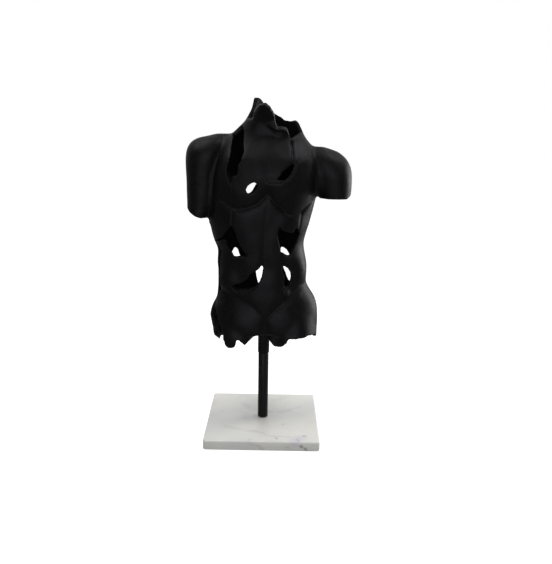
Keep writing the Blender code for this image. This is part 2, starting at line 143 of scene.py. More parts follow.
ARM_LEFT = (
    (272, -101, -76, 23, 24, 0),
    (290, -101, -72, 23, 24, 0),
    (304, -101, -64, 23, 25, 0),
    (336, -101, -60, 25, 27, 0),
    (360, -102, -54, 27, 30, 0),
    (374, -101, -48, 26, 29, 0),
    (383, -97, -42, 21, 25, 0),
    (389, -90, -38, 15, 19, 0),
    (393, -78, -36, 8, 12, 0),
    (395.3, -64, -38, 4, 7, 0),
)
ARM_RIGHT = (
    (300, 74, 109, 24, 27, 0),
    (316, 70, 109, 24, 27, 0),
    (326, 64, 110, 25, 28, 0),
    (344, 60, 110, 27, 31, 0),
    (356, 54, 108, 25, 30, 0),
    (366, 48, 103, 22, 27, 0),
    (373, 42, 95, 16, 22, 0),
    (378.5, 38, 87, 9, 15, 0),
    (381, 38, 74, 4, 8, 0),
)
ARMPIT_LEFT = (
    (294, -82, -54, 12, 16, 0),
    (306, -84, -50, 21, 24, 0),
    (345, -84, -48, 24, 28, 0),
    (376, -80, -44, 22, 26, 0),
    (386, -72, -42, 12, 18, 0),
)
ARMPIT_RIGHT = (
    (320, 58, 80, 12, 16, 0),
    (330, 54, 86, 22, 24, 0),
    (350, 52, 86, 24, 28, 0),
    (364, 48, 82, 20, 24, 0),
    (372, 46, 72, 10, 16, 0),
)
THIGH_LEFT = (
    (100, -56, -1, 38, 46, 2),
    (135, -69, -1, 44, 50, 2),
    (165, -66, -6, 36, 42, 2),
    (185, -54, -14, 22, 28, 2),
)
THIGH_RIGHT = (
    (100, 5, 64, 38, 46, 2),
    (135, 5, 72, 44, 50, 2),
    (165, 8, 68, 36, 42, 2),
    (185, 16, 54, 22, 28, 2),
)
SPINE_DEPTH = 3
TRUNK_BASE = 142
TRUNK_SQUARENESS = 2.3
LIMB_SQUARENESS = 2.2
RING_SIDES = 112
RING_STEP = 2
EASING_PASSES = 3


def eased_rows(table, base):
    """A table's rows at even heights from base up, eased into one another."""
    rows = np.array(table, float)
    heights = np.arange(max(base, rows[0, 0]), rows[-1, 0] + 0.5, RING_STEP)
    heights[-1] = rows[-1, 0]
    dense = np.stack([np.interp(heights, rows[:, 0], column) for column in rows.T], 1)
    for _ in range(EASING_PASSES):
        dense[1:-1, 1:] = (dense[:-2, 1:] + 2 * dense[1:-1, 1:] + dense[2:, 1:]) / 4
    return dense


def section(row, squareness):
    """The points of one level section, a rounded oval with its own depths front and back."""
    height, left, right, front, back, turn = row
    around = Matrix.Rotation(math.radians(turn), 2)
    points = []
    for i in range(RING_SIDES):
        angle = 2 * math.pi * i / RING_SIDES
        c, s = math.cos(angle), math.sin(angle)
        x = (right - left) / 2 * math.copysign(abs(c) ** (2 / squareness), c)
        y = (back if s > 0 else front) * math.copysign(abs(s) ** (2 / squareness), s)
        spot = around @ Vector((x, y))
        points.append(place(spot.x + (left + right) / 2, spot.y + SPINE_DEPTH, height))
    return points


print("levels in the trunk:", len(eased_rows(TRUNK, TRUNK_BASE)))

# %% [markdown]
# One helper closes a stack of rings into a solid. It makes the trunk, the limbs and the
# fillings of the armpits here, and every ragged cutter further on.

# %% Loft the trunk and the limbs
def close_loft(bm, rings):
    """Joins rings of equally many points into a closed skin."""
    loops = [[bm.verts.new(point) for point in ring] for ring in rings]
    count = len(loops[0])
    for low, high in zip(loops, loops[1:]):
        for i in range(count):
            j = (i + 1) % count
            bm.faces.new((low[i], low[j], high[j], high[i]))
    bm.faces.new(loops[0][::-1])
    bm.faces.new(loops[-1])


def mesh_object(name, bm):
    """An object of the finished bmesh, its faces pointing outwards."""
    bmesh.ops.recalc_face_normals(bm, faces=bm.faces[:])
    mesh = bpy.data.meshes.new(name)
    bm.to_mesh(mesh)
    bm.free()
    obj = bpy.data.objects.new(name, mesh)
    scene.collection.objects.link(obj)
    return obj


skin = bmesh.new()
close_loft(skin, [section(row, TRUNK_SQUARENESS) for row in eased_rows(TRUNK, TRUNK_BASE)])
for limb in (ARM_LEFT, ARM_RIGHT, ARMPIT_LEFT, ARMPIT_RIGHT, THIGH_LEFT, THIGH_RIGHT):
    close_loft(skin, [section(row, LIMB_SQUARENESS) for row in eased_rows(limb, 0)])
body = mesh_object("cast_torso", skin)
print("lofted body, faces:", len(body.data.polygons))

# %% [markdown]
# The seven lofts still cross one another. A voxel remesh melts them into one skin, as wax
# would be, and a smoothing pass softens the joins at the shoulders and the groin.

# %% Melt the lofts into one skin
BODY_VOXEL = 1.3 * MM
BODY_PASSES = 40


def bake_modifiers(obj):
    """Turns what the modifiers make into the object's own mesh."""
    graph = bpy.context.evaluated_depsgraph_get()
    mesh = bpy.data.meshes.new_from_object(obj.evaluated_get(graph), depsgraph=graph)
    obj.modifiers.clear()
    obj.data = mesh


def melt(obj, voxel, passes):
    """One even skin round everything the object holds, then smoothed."""
    remesh = obj.modifiers.new("Melt", "REMESH")
    remesh.mode = "VOXEL"
    remesh.voxel_size = voxel
    blend = obj.modifiers.new("Blend", "SMOOTH")
    blend.factor = 0.5
    blend.iterations = passes
    bake_modifiers(obj)


melt(body, BODY_VOXEL, BODY_PASSES)
print("melted body, faces:", len(body.data.polygons))

# %% [markdown]
# The arm stumps end flat, as if sawn, and the left one has a chamfer on its outer corner.
# The lofts run past the ends, so a flat cutter takes off the rest. A second, light remesh
# gives the new faces the same even mesh as the skin and rounds their edges a little.

# %% Saw off the arms
# Points across and up.
STUMP_LEFT = (
    (-112, 262), (-112, 312), (-101, 302), (-96, 297), (-89, 292.5), (-82, 290), (-72.5, 290),
    (-72.5, 262),
)
STUMP_RIGHT = (
    (70, 290), (70, 316.8), (84, 317), (103, 317), (108, 320.5), (118, 330), (118, 290),
)
STUMP_REACH = 50
STUMP_PASSES = 2
# The first is fast. The second steps in where the first leaves the mesh as it was.
SOLVERS = ("MANIFOLD", "EXACT")


def cutter_of(name, rings):
    """A closed cutter from its layers."""
    bm = bmesh.new()
    close_loft(bm, rings)
    bmesh.ops.triangulate(bm, faces=[face for face in bm.faces if len(face.verts) > 4])
    return mesh_object("cutter " + name, bm)


def combine(obj, tools, operation):
    """Cuts the tools out of the object, or joins them on, one by one, and removes them."""
    for tool in tools:
        for solver in SOLVERS:
            before = len(obj.data.polygons)
            step = obj.modifiers.new(tool.name, "BOOLEAN")
            step.operation = operation
            step.solver = solver
            step.object = tool
            bake_modifiers(obj)
            if len(obj.data.polygons) != before:
                break
            print(tool.name, "did nothing with the solver", solver)
        bpy.data.objects.remove(tool)


saws = []
for name, outline in (("left stump", STUMP_LEFT), ("right stump", STUMP_RIGHT)):
    ends = [[place(x, y, z) for x, z in outline] for y in (-STUMP_REACH, STUMP_REACH)]
    saws.append(cutter_of(name, ends))
combine(body, saws, "DIFFERENCE")
melt(body, BODY_VOXEL, STUMP_PASSES)
print("body with its stumps, faces:", len(body.data.polygons))

# %% [markdown]
# Muscles are broad, shallow swells, and the lines between them are furrows. Both are moved
# along the surface's own normals, so they wrap round the form. A swell is an oval with a
# height. A furrow is a line of points with a width and a depth, and a negative depth makes
# it a ridge. Each belongs to the front or the back.

# %% Raise the muscles and sink the folds
FRONT = -1
BACK = 1
FACING_GAIN = 1.5

# Name, side, middle across and up, half width, half height, flat share, height.
SWELLS = (
    ("pectoral left", FRONT, -28, 345, 40, 41, 0.4, 4),
    ("pectoral right", FRONT, 35, 344, 37, 43, 0.4, 4),
    ("breastbone", FRONT, 4, 356, 26, 40, 0.2, 2.2),
    ("rib arch left", FRONT, -34, 288, 26, 26, 0.3, 2),
    ("rib arch right", FRONT, 32, 285, 24, 24, 0.3, 2),
    ("belly left", FRONT, -16, 250, 20, 42, 0.3, 2),
    ("belly right", FRONT, 16, 250, 20, 42, 0.3, 2),
    ("low belly", FRONT, 0, 200, 36, 34, 0.3, 3),
    ("hip crest left", FRONT, -49, 212, 20, 24, 0.1, 4),
    ("hip crest right", FRONT, 47, 222, 18, 28, 0.1, 4),
    ("neck ledge", FRONT, 18, 404, 14, 15, 0.5, 2),
    ("neck flap", FRONT, 3, 433, 22, 30, 0, 8),
    ("thigh left", FRONT, -32, 146, 34, 40, 0.2, 2.5),
    ("thigh right", FRONT, 36, 148, 34, 40, 0.2, 2.5),
    ("shoulder blade left", BACK, -36, 342, 27, 36, 0.3, 5),
    ("shoulder blade right", BACK, 42, 336, 27, 36, 0.3, 5),
    ("back muscle left", BACK, -18, 240, 18, 52, 0.3, 4),
    ("back muscle right", BACK, 18, 240, 18, 52, 0.3, 4),
    ("buttock left", BACK, -33, 152, 35, 38, 0.3, 13),
    ("buttock right", BACK, 34, 152, 35, 38, 0.3, 13),
)

# Name, side, half width, depth, points across and up.
FURROWS = (
    ("under pectoral left", FRONT, 6, 1.2, (
        (-54, 317), (-42, 309), (-30, 306), (-19, 307), (-9, 312), (4, 326),
    )),
    ("under pectoral right", FRONT, 6, 1.2, (
        (4, 326), (10, 316), (21, 306), (33, 299), (46, 302), (58, 314),
    )),
    ("middle line", FRONT, 7, 0.3, ((4, 326), (2, 300), (0, 275), (0, 236), (0, 214))),
    ("groin left", FRONT, 8, 0.8, ((-56, 200), (-42, 193), (-28, 188), (-13, 179), (1, 161))),
    ("groin right", FRONT, 8, 0.9, ((54, 208), (38, 200), (24, 186), (10, 173), (1, 161))),
    ("crotch", FRONT, 9, 2.5, ((2, 153), (3, 146), (2, 100))),
    ("spine", BACK, 9, 5, ((4, 400), (3, 330), (-2, 260), (0, 195))),
    ("cleft", BACK, 9, 13, ((0, 186), (1, 160), (2, 100))),
    ("armpit left", FRONT, 7, 1.5, ((-54, 388), (-60, 362), (-65, 345), (-67, 300))),
    ("armpit right", FRONT, 7, 0.6, ((62, 372), (66, 350), (69, 322))),
    ("arm behind left", BACK, 7, 2, ((-50, 384), (-62, 350), (-67, 300))),
    ("arm behind right", BACK, 7, 2, ((60, 372), (64, 345), (68, 322))),
)


def ease(value):
    """Runs from 0 to 1 with soft ends."""
    value = np.clip(value, 0, 1)
    return value * value * (3 - 2 * value)


def to_line(x, z, points):
    """How far each spot is from a line of points, and its side: right of it is positive."""
    best = np.full(len(x), 1e9)
    side = np.ones(len(x))
    for (ax, az), (bx, bz) in zip(points, points[1:]):
        ux, uz = bx - ax, bz - az
        share = np.clip(((x - ax) * ux + (z - az) * uz) / (ux * ux + uz * uz), 0, 1)
        gap = np.hypot(x - ax - share * ux, z - az - share * uz)
        nearer = gap < best
        best = np.where(nearer, gap, best)
        side = np.where(nearer, np.sign(ux * (az - z) - uz * (ax - x)), side)
    return best, side


def read_points(mesh):
    """The places and the normals of a mesh's points, one row for each point."""
    spots = np.empty((len(mesh.vertices), 3))
    normals = np.empty_like(spots)
    mesh.vertices.foreach_get("co", spots.ravel())
    mesh.vertices.foreach_get("normal", normals.ravel())
    return spots, normals


class Surface:
    """The body's points in the units of the tables, with a lift to be gathered for each."""

    def __init__(self, obj):
        self.mesh = obj.data
        self.spots, self.normals = read_points(self.mesh)
        self.x = self.spots[:, 0] / unit
        self.z = (self.spots[:, 2] - figure_foot) / unit + TABLE_FOOT
        self.lift = np.zeros(len(self.spots))

    def facing(self, side):
        """1 where the surface looks to that side, 0 where it looks away."""
        return ease(self.normals[:, 1] * side * FACING_GAIN)

    def add_swell(self, side, x, z, half_width, half_height, flat, height):
        """Raises an oval, flat in its middle and soft towards its rim."""
        radius = np.hypot((self.x - x) / half_width, (self.z - z) / half_height)
        self.lift += height * self.facing(side) * ease((1 - radius) / (1 - flat))

    def add_furrow(self, side, half_width, depth, points):
        """Sinks a soft groove along a line of points."""
        gap, _ = to_line(self.x, self.z, points)
        self.lift -= depth * self.facing(side) * np.exp(-2 * (gap / half_width) ** 2)

    def add_plate(self, height, step, fade, edge):
        """Raises what lies beside the edge, and lets it fade with distance and past both ends."""
        gap, side = to_line(self.x, self.z, edge)
        raised = height * self.facing(FRONT) * ease(gap * side / step) * (1 - ease(gap / fade))
        for (ax, az), (bx, bz) in ((edge[1], edge[0]), (edge[-2], edge[-1])):
            ux, uz = bx - ax, bz - az
            past = ((self.x - bx) * ux + (self.z - bz) * uz) / math.hypot(ux, uz)
            raised *= 1 - ease(past / PLATE_END)
        self.lift += raised

    def apply(self):
        """Moves the body's points by what has been gathered."""
        moved = self.spots + self.normals * (self.lift * unit)[:, None]
        self.mesh.vertices.foreach_set("co", moved.ravel())
        self.mesh.update()


surface = Surface(body)
for _, *swell in SWELLS:
    surface.add_swell(*swell)
for _, *furrow in FURROWS:
    surface.add_furrow(*furrow)
surface.apply()
print("muscles moved the surface by up to", round(float(surface.lift.max()), 1), "units")

# %% [markdown]
# The casting is hollow. Its inside is the same form moved inwards by the wall, melted once
# more to clear the places where it folds over itself. It is taken now, before the fine
# relief, because the inside of a casting doesn't follow every line of the outside.

# %% Make the hollow
WALL = 4.5 * MM
HOLLOW_VOXEL = 2.6 * MM
HOLLOW_PASSES = 24

hollow = bpy.data.objects.new("hollow", body.data.copy())
scene.collection.objects.link(hollow)
inset = hollow.modifiers.new("Inset", "DISPLACE")
inset.strength = -WALL
inset.mid_level = 0
melt(hollow, HOLLOW_VOXEL, HOLLOW_PASSES)
print("hollow, faces:", len(hollow.data.polygons))

# %% [markdown]
# The finer lines follow: the seams between the plates of the shell, the crack beside the
# neck, the sharp creases where the arms meet the chest, and the doubled fold at the right
# groin. The right breast is a plate of its own that stands proud of the upper chest, with
# its edge as a small step that fades out downwards. So is the ledge at the foot of the neck.

# %% Cut the seams and raise the plates
SEAMS = (
    ("under pectoral left", FRONT, 2.4, 1.1, (
        (-53, 316), (-41, 308), (-33, 306), (-24, 306), (-9, 312), (3, 324),
    )),
    ("under pectoral right", FRONT, 2.4, 1.2, (
        (7, 321), (11, 315), (25, 303), (33, 299), (46, 302), (59, 315),
    )),
    ("seam left", FRONT, 1.5, 0.7, ((-40, 333), (-39, 326), (-40, 315), (-40, 286))),
    ("seam right", FRONT, 1.8, 0.9, ((46, 301), (45, 291), (44, 284), (42, 276))),
    ("middle seam", FRONT, 2.2, 0.3, ((5, 324), (1, 296), (0, 276), (1, 238))),
    ("arm crease left", FRONT, 1.8, 0.9, (
        (-55, 390), (-57, 375), (-62, 354), (-66, 335), (-67, 300),
    )),
    ("arm line left", FRONT, 1.5, 0.6, ((-70, 346), (-70, 335), (-71, 294))),
    ("arm crease right", FRONT, 1.8, 0.5, ((64, 364), (65, 353), (67, 341), (68, 320))),
    ("arm line right", FRONT, 2.0, -0.3, ((68, 345), (69, 339), (71, 321))),
    ("arm step left", FRONT, 1.5, 0.4, ((-98, 302), (-84, 301), (-73, 301))),
    ("neck crack", FRONT, 1.6, 2.6, ((30, 392), (31, 387), (32, 381), (33, 371), (33, 359))),
    ("neck crack rim", FRONT, 1.8, -1.2, ((33, 391), (34, 386), (35, 378), (36, 364))),
    ("groin left", FRONT, 2.6, 0.5, (
        (-54, 198), (-46, 195), (-37, 191), (-19, 185), (-3, 170), (1, 162),
    )),
    ("groin right", FRONT, 2.4, 0.9, (
        (53, 206), (39, 202), (34, 198), (28, 190), (16, 178), (3, 163),
    )),
    ("hip crest right", FRONT, 4.0, 1.5, ((63, 214), (53, 207), (44, 205), (36, 200))),
    ("hip crest left", FRONT, 4.0, 0.9, ((-60, 202), (-52, 198), (-44, 194))),
    ("groin fold", FRONT, 3.6, -0.7, ((20, 176), (27, 177), (33, 182), (46, 194))),
    ("loin groove", FRONT, 1.6, 1.4, ((25, 204), (25, 196), (27, 191), (31, 190), (34, 195))),
    ("loin bead", FRONT, 4.0, -1.6, ((29, 199), (30, 194))),
    ("crotch line", FRONT, 2.4, 0.8, ((1, 161), (3, 151), (2, 140))),
    ("arm behind left", BACK, 2.2, 1.2, ((-50, 386), (-62, 350), (-67, 298))),
    ("arm behind right", BACK, 2.2, 1.2, ((60, 374), (64, 345), (67, 320))),
    ("spine", BACK, 3.0, 1.2, ((4, 396), (3, 330), (-2, 260), (0, 198))),
    ("back crack", BACK, 1.6, 1.6, ((-22, 346), (-8, 352), (2, 366), (14, 372), (26, 388))),
    ("loin crack", BACK, 1.6, 1.4, ((38, 246), (42, 262), (38, 280), (46, 300))),
)
# Name, height, width of the step, how far the plate takes to fade, its edge across and up.
# The plate lies to the right of its edge, for one who follows the points.
PLATES = (
    ("right breast", 1.8, 0.9, 42, (
        (6, 338), (17, 338), (26, 341), (31, 347), (35, 355), (39, 362), (49, 369), (55, 376),
        (64, 384),
    )),
    ("neck ledge", 2.2, 1.0, 10, ((29, 391), (24.5, 397.5), (12, 399), (5, 403))),
)
PLATE_END = 8
UNEVEN_HEIGHT = 0.35
UNEVEN_SPAN = 15

surface = Surface(body)
for _, *seam in SEAMS:
    surface.add_furrow(*seam)
for _, *plate in PLATES:
    surface.add_plate(*plate)
grid = surface.spots / (unit * UNEVEN_SPAN)
surface.lift += UNEVEN_HEIGHT * np.array([noise.noise(Vector(spot)) for spot in grid])
surface.apply()
print("seams cut:", len(SEAMS))

# %% [markdown]
# A broken window is cut with a solid whose outline is the hole's. A straight punch would
# leave clean, machined lips, so the outline is broken up into short steps, and the cutter
# is built of layers that each wander a little. The layers follow the skin, which lets the
# outer millimetres slope: that is the pale lip under each hole. Blender's noise vectors
# start from the clock unless they are given a seed, so one is set.

# %% Cut the windows
# Name, side, direction the lip slopes away to in degrees, its reach, outline across and up.
WINDOWS = (
    ("slot", FRONT, 180, 0.5, (
        (-29, 405), (-27, 398), (-27, 389), (-27, 380), (-26, 374), (-29, 364), (-33, 358),
        (-33, 351), (-34, 347), (-39, 344), (-40, 338), (-41, 333), (-43, 338), (-46, 343),
        (-47, 348), (-47, 353), (-45, 362), (-43, 370), (-42, 380), (-41, 388), (-41, 400),
        (-36, 405),
    )),
    ("wedge", FRONT, 0, 0.5, (
        (35, 360), (32, 360), (28, 357), (21, 351), (18, 346), (14, 341.5), (23, 341), (28, 344),
        (31, 350), (34, 355),
    )),
    ("oval", FRONT, -50, 3.4, (
        (-23, 329.5), (-21, 334), (-17, 337), (-13, 338.7), (-10.5, 337.5), (-8.5, 333.5),
        (-11.5, 328.5), (-14.5, 325.3), (-18, 324.2), (-22, 325.5),
    )),
    ("belly left", FRONT, -75, 3.2, (
        (-41, 285), (-39, 282), (-37, 278), (-35, 274), (-33, 265), (-30, 260), (-27, 254),
        (-21, 247), (-25, 244), (-31, 243), (-37, 242), (-39, 246), (-44, 254), (-47, 260),
        (-48, 265), (-53, 267), (-52, 270), (-49, 276), (-45, 280),
    )),
    ("crown", FRONT, -40, 2.0, (
        (19, 284), (21, 281), (25, 278.5), (29, 277), (33, 275.5), (36, 276.5), (38, 280),
        (39.5, 284.5), (41, 280), (44, 273), (41, 265), (38, 258), (35, 253), (32.5, 246),
        (28, 247), (24, 250), (20, 253), (19, 261), (17, 269), (16, 275), (17, 279),
    )),
    ("navel", FRONT, -95, 7.5, (
        (-3, 236), (-6, 231), (-11, 227), (-15, 225), (-18, 222), (-21, 218), (-24, 215),
        (-30, 210), (-37, 208), (-41, 206), (-36, 200), (-28, 197), (-21, 197), (-16, 199),
        (-11, 203), (-8, 209), (-6, 214), (-3, 220), (-2, 225), (-1, 231),
    )),
    ("loin", FRONT, -90, 6.0, (
        (22, 234), (26, 233.5), (30, 230), (33, 225), (34, 220), (33.5, 215), (32.5, 209),
        (32, 203), (29, 200), (26, 202), (25, 208), (26, 214), (26, 220), (23.5, 228),
    )),
    ("notch", FRONT, -90, 0.5, (
        (-49, 272), (-57, 266.5), (-69, 258.5), (-69, 256), (-58, 262.5), (-50, 267),
    )),
    ("gap at the shoulder", BACK, -90, 1.0, (
        (-12, 332), (-12, 340), (-20, 344), (-31, 338), (-36, 328), (-34, 318), (-27, 315),
        (-22, 317), (-19, 320), (-17, 324), (-15, 328),
    )),
    ("gap at the ribs", BACK, -90, 1.0, (
        (-47, 234), (-45, 240), (-42, 245), (-40, 246), (-37, 242), (-35, 235), (-32, 224),
        (-38, 219), (-46, 222), (-50, 229),
    )),
    ("gap at the spine", BACK, -90, 1.0, (
        (-12.5, 209), (-11.5, 203), (-9.5, 197), (-8.5, 190), (-5, 184), (0, 182), (6, 192),
        (7, 205), (4, 216), (-4, 220), (-12, 216),
    )),
    ("gap at the loin", BACK, 0, 1.0, (
        (21, 236), (21, 245), (25, 245), (29.5, 242), (33, 236), (38, 229), (40, 218), (39, 207),
        (37, 200), (34.5, 198.5), (32, 201), (29, 208), (26, 216), (21, 226),
    )),
)
STEP_LENGTH = 2.2
RAGGED = 0.7
LAYER_RAGGED = 0.35
NOISE_SEED = 12
LIP_DEPTHS = (-1.5, 0.2, 1.4, 2.8, 4.2, 6.0)
WINDOW_START = 95
WINDOW_END = 6
# The depth taken where a step of the outline misses the skin.
MISSED_DEPTH = 40

noise.seed_set(NOISE_SEED)


def ragged_outline(points, seed, amount):
    """The closed outline in short steps, each pushed in or out a little."""
    steps = []
    count = len(points)
    for i, (ax, az) in enumerate(points):
        bx, bz = points[(i + 1) % count]
        length = math.hypot(bx - ax, bz - az)
        parts = max(1, round(length / STEP_LENGTH))
        for k in range(parts):
            share = k / parts
            push = amount * noise.noise(Vector((ax + share * length, az * 0.7, seed * 9.1)))
            x = ax + (bx - ax) * share + (bz - az) / length * push
            z = az + (bz - az) * share + (ax - bx) / length * push
            steps.append((x, z))
    return steps


def wander(x, z, layer, seed):
    """A small sideways shift that changes from layer to layer of a cutter."""
    shift = noise.noise_vector(Vector((x / 4, z / 4, layer * 0.9 + seed * 3.7)))
    return LAYER_RAGGED * shift.x, LAYER_RAGGED * shift.z


def lip_shift(steps, direction, reach):
    """How far each step of the outline moves in, behind a lip that slopes away one way."""
    down_x, down_z = math.cos(math.radians(direction)), math.sin(math.radians(direction))
    middle_x = sum(x for x, _ in steps) / len(steps)
    middle_z = sum(z for _, z in steps) / len(steps)
    shifts = []
    for x, z in steps:
        away_x, away_z = x - middle_x, z - middle_z
        share = max(0, (away_x * down_x + away_z * down_z) / (math.hypot(away_x, away_z) + 1e-6))
        shifts.append((-down_x * reach * share, -down_z * reach * share))
    return shifts


def skin_depths(tree, steps, side):
    """Where the skin lies behind each step of an outline, in table units of depth."""
    depths = []
    last = side * MISSED_DEPTH
    for x, z in steps:
        start = place(x, side * WINDOW_START, z)
        hit = tree.ray_cast(start, Vector((0, -side, 0)))[0]
        if hit is not None and hit.y * side > 0:
            last = hit.y / unit
        depths.append(last)
    return depths


def window_rings(tree, side, direction, reach, outline, seed, end=WINDOW_END):
    """The layers of one window's cutter, from outside the skin to inside the hollow."""
    steps = ragged_outline(outline, seed, RAGGED)
    depths = skin_depths(tree, steps, side)
    shifts = lip_shift(steps, direction, reach)
    rings = [[place(x, side * WINDOW_START, z) for x, z in steps]]
    for layer, below in enumerate(LIP_DEPTHS):
        share = min(1, max(0, below / LIP_DEPTHS[-2]))
        ring = []
        for (x, z), depth, (in_x, in_z) in zip(steps, depths, shifts):
            off_x, off_z = wander(x, z, layer, seed)
            x, z = x + in_x * share + off_x, z + in_z * share + off_z
            ring.append(place(x, depth - side * below, z))
        rings.append(ring)
    rings.append([place(x + a, side * end, z + b) for (x, z), (a, b) in zip(steps, shifts)])
    return rings


skin_tree = BVHTree.FromObject(body, bpy.context.evaluated_depsgraph_get())
cutters = [hollow]
for seed, (name, side, direction, reach, outline) in enumerate(WINDOWS, 1):
    rings = window_rings(skin_tree, side, direction, reach, outline, seed)
    cutters.append(cutter_of(name, rings))
print("window cutters:", len(cutters) - 1)

# %% [markdown]
# The neck, the hips and the left flank are broken away altogether. Their cutters take all
# that lies beyond a ragged line. Front and back have lines of their own, because the front
# of the neck stands lower than the back, and the back of the hips hangs lower.

# %% Break off the neck, the hips and the flank
NECK_FRONT = (
    (-52, 409), (-26, 411), (-17, 411), (-15.5, 414), (-15.5, 420), (-13, 424), (-9, 428),
    (-4, 429), (0, 428), (4, 425), (8, 420), (10, 415), (11, 409), (12, 404), (13, 401), (23, 401),
    (25.5, 399.5), (28, 394), (29.5, 389), (31, 387), (36, 391), (42, 395), (54, 396),
)
NECK_BACK = (
    (-48, 436), (-20, 439), (-12, 439), (-8, 439), (-6, 436), (-2, 430), (5, 424), (12, 420),
    (18, 417), (23, 413), (30, 412), (36, 413), (40, 410), (43, 404), (52, 398),
)
HIPS_FRONT = (
    (-82, 132), (-56, 137), (-51, 135), (-49, 128), (-46, 125), (-41, 125), (-37, 127), (-35, 132),
    (-34, 137), (-31, 137), (-28, 134), (-24, 129.5), (-20, 133), (-16, 137), (-13, 139), (-8, 140),
    (1, 139), (4, 133), (8, 127), (15, 125), (23, 127), (29, 132), (33, 139), (51, 140), (59, 142),
    (84, 135),
)
HIPS_BACK = (
    (-82, 144), (-72, 139), (-67, 130), (-62, 125), (-57, 121), (-50, 119), (-44, 123), (-30, 119),
    (-16, 128), (0, 134), (14, 125), (30, 121), (42, 129), (56, 124), (66, 131), (84, 132),
)
FLANK_SPLIT = (
    (-19, 259), (-21, 249), (-17, 236), (-20, 221), (-23, 210), (-21, 203), (-16, 197), (-10, 188),
    (-6, 182), (-13, 177), (-19, 172), (-26, 162), (-30, 153), (-34, 144), (-38, 137), (-41, 128),
    (-42, 90), (1, 90), (4, 118), (-1, 136), (4, 152), (-2, 170), (3, 186), (-3, 202), (1, 222),
    (-6, 240),
)
BREAK_REACH = 60
BREAK_LAYER = 4
BREAK_START = 92
BREAK_OVERLAP = 1
SPLIT_START = -100
SPLIT_END = -49.5
NECK_LIP = 4
# Each break takes the next seed, well clear of those of the windows.
BREAK_SEED = 21

# Name, line, the way up or down to what is broken off, side.
BREAKS = (
    ("neck back", NECK_BACK, 1, BACK),
    ("hips front", HIPS_FRONT, -1, FRONT),
    ("hips back", HIPS_BACK, -1, BACK),
)


def close_break(line, toward):
    """The outline round all that lies beyond a broken line."""
    limit = line[0][1] + toward * BREAK_REACH
    return list(line) + [(line[-1][0], limit), (line[0][0], limit)]


def break_rings(line, toward, side, seed):
    """Layers from outside to the middle, over all that is beyond a broken line."""
    steps = ragged_outline(close_break(line, toward), seed, RAGGED)
    rings = []
    for layer, y in enumerate(np.arange(BREAK_START, -BREAK_OVERLAP - 0.1, -BREAK_LAYER)):
        depth = side * max(y, -BREAK_OVERLAP)
        shifted = [(x, z, wander(x, z, layer, seed)) for x, z in steps]
        rings.append([place(x + a, depth, z + b) for x, z, (a, b) in shifted])
    return rings


def split_rings(seed):
    """Layers across the left flank, from outside the skin inwards."""
    steps = ragged_outline(FLANK_SPLIT, seed, RAGGED)
    rings = []
    for layer, x in enumerate(np.arange(SPLIT_START, SPLIT_END + 0.1, BREAK_LAYER)):
        shifted = [(y, z, wander(y, z, layer, seed)) for y, z in steps]
        rings.append([place(x, y + a, z + b) for y, z, (a, b) in shifted])
    return rings


neck_line = close_break(NECK_FRONT, 1)
rings = window_rings(skin_tree, FRONT, -90, NECK_LIP, neck_line, BREAK_SEED, -BREAK_OVERLAP)
cutters.append(cutter_of("neck front", rings))
for seed, (name, line, toward, side) in enumerate(BREAKS, BREAK_SEED + 1):
    cutters.append(cutter_of(name, break_rings(line, toward, side, seed)))
cutters.append(cutter_of("flank", split_rings(seed + 1)))
print("cutters in all:", len(cutters))

# %% [markdown]
# The cutters are taken away one after another. The socket that the bar stands in is a short
# round boss cast under the crotch, joined on afterwards and bored out. Blender's manifold
# solver does this in moments, because every piece is a closed skin.

# %% Cut the casting and join on its socket
SOCKET_RADIUS = 7.7 * MM
SOCKET_SIDES = 96
SOCKET_TOP = 149
BORE_RADIUS = 4.3 * MM
BORE_DEPTH = 22.3 * MM
CUT_MARGIN = 2 * MM


def upright(name, radius, low, high):
    """An upright round bar between two heights."""
    bm = bmesh.new()
    size = {"radius1": radius, "radius2": radius, "depth": high - low}
    middle = Matrix.Translation((0, 0, (low + high) / 2))
    bmesh.ops.create_cone(bm, cap_ends=True, segments=SOCKET_SIDES, matrix=middle, **size)
    return mesh_object(name, bm)


combine(body, cutters, "DIFFERENCE")
socket = upright("socket", SOCKET_RADIUS, figure_foot, place(0, 0, SOCKET_TOP).z)
combine(body, [socket], "UNION")
bore = upright("bore", BORE_RADIUS, figure_foot - CUT_MARGIN, figure_foot + BORE_DEPTH)
combine(body, [bore], "DIFFERENCE")
print("cut casting, faces:", len(body.data.polygons))

# %% [markdown]
# A casting has no knife edges: metal rounds off in the mould, and paint fills what is left.
# One more remesh, as fine as a millimetre, takes the sharpness off every broken lip at
# once, and a light collapse then drops the faces that flat areas don't need.

# %% Round the broken edges
CAST_VOXEL = 0.95 * MM
CAST_PASSES = 2
TRIANGLE_GOAL = 185000


def smooth(obj, crease=None):
    """Shades a piece smoothly. Edges that turn by more than the crease, in degrees, stay crisp."""
    obj.data.polygons.foreach_set("use_smooth", [True] * len(obj.data.polygons))
    if crease:
        obj.data.set_sharp_from_angle(angle=math.radians(crease))


melt(body, CAST_VOXEL, CAST_PASSES)
lighter = body.modifiers.new("Lighter", "DECIMATE")
lighter.ratio = min(1, TRIANGLE_GOAL / (2 * len(body.data.polygons)))
bake_modifiers(body)
smooth(body)
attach(body, "root")
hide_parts("torso")
print("finished casting, faces:", len(body.data.polygons))

# %% [markdown]
# The bar is turned from round stock, with a thinner end for the socket and one for the
# plinth. A lathe gives each height a radius, and Geometry Nodes can work the same way: a
# line runs up the axis, each of its points keeps its radius, and a circle swept along the
# line takes that radius as it goes. The number of sides and the paint are inputs of the
# group, so another bar needs only another line.

